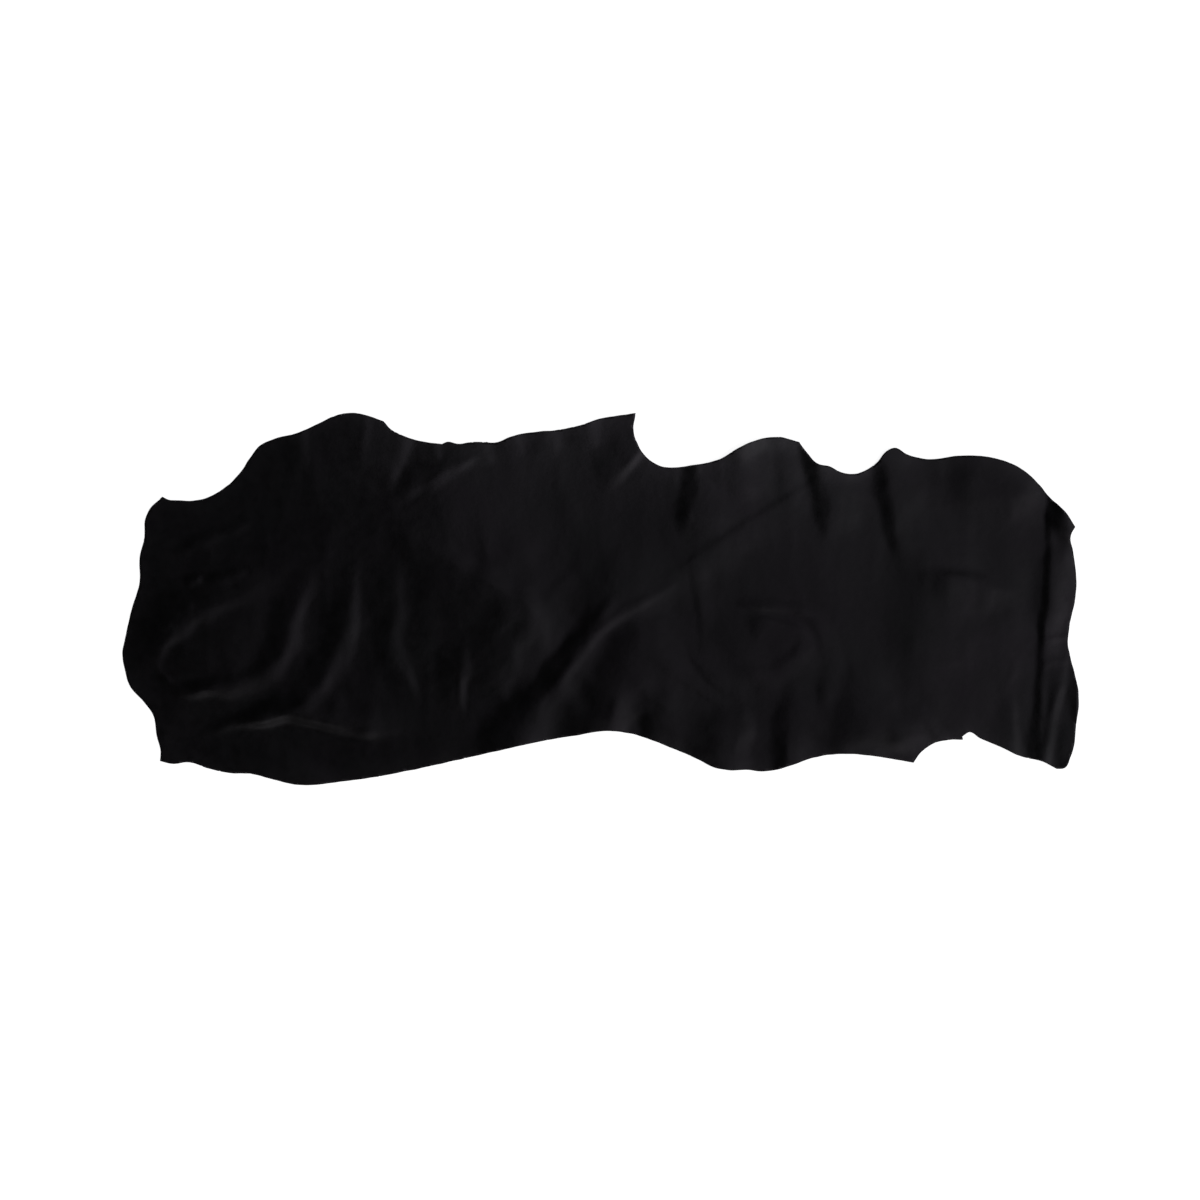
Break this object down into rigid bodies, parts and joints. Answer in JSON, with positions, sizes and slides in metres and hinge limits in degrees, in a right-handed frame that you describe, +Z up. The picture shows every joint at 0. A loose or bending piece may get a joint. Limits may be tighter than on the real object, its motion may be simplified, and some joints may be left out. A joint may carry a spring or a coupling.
{
  "type": "leather hide",
  "caption": "Black leather side, half a cow hide, laid out grain side up with its natural outline and loose folds.",
  "frame": {"origin": "under the middle of the hide's box, on the surface that it lies on", "axes": "+X along the hide, towards its straight creased end; +Y across it; +Z up, out of the grain side"},
  "size_m": [2.291, 0.8924, 0.0226],
  "materials": {
    "black_leather": "satin"
  },
  "bodies": {
    "root": {"hide": "black_leather"}
  },
  "joints": []
}
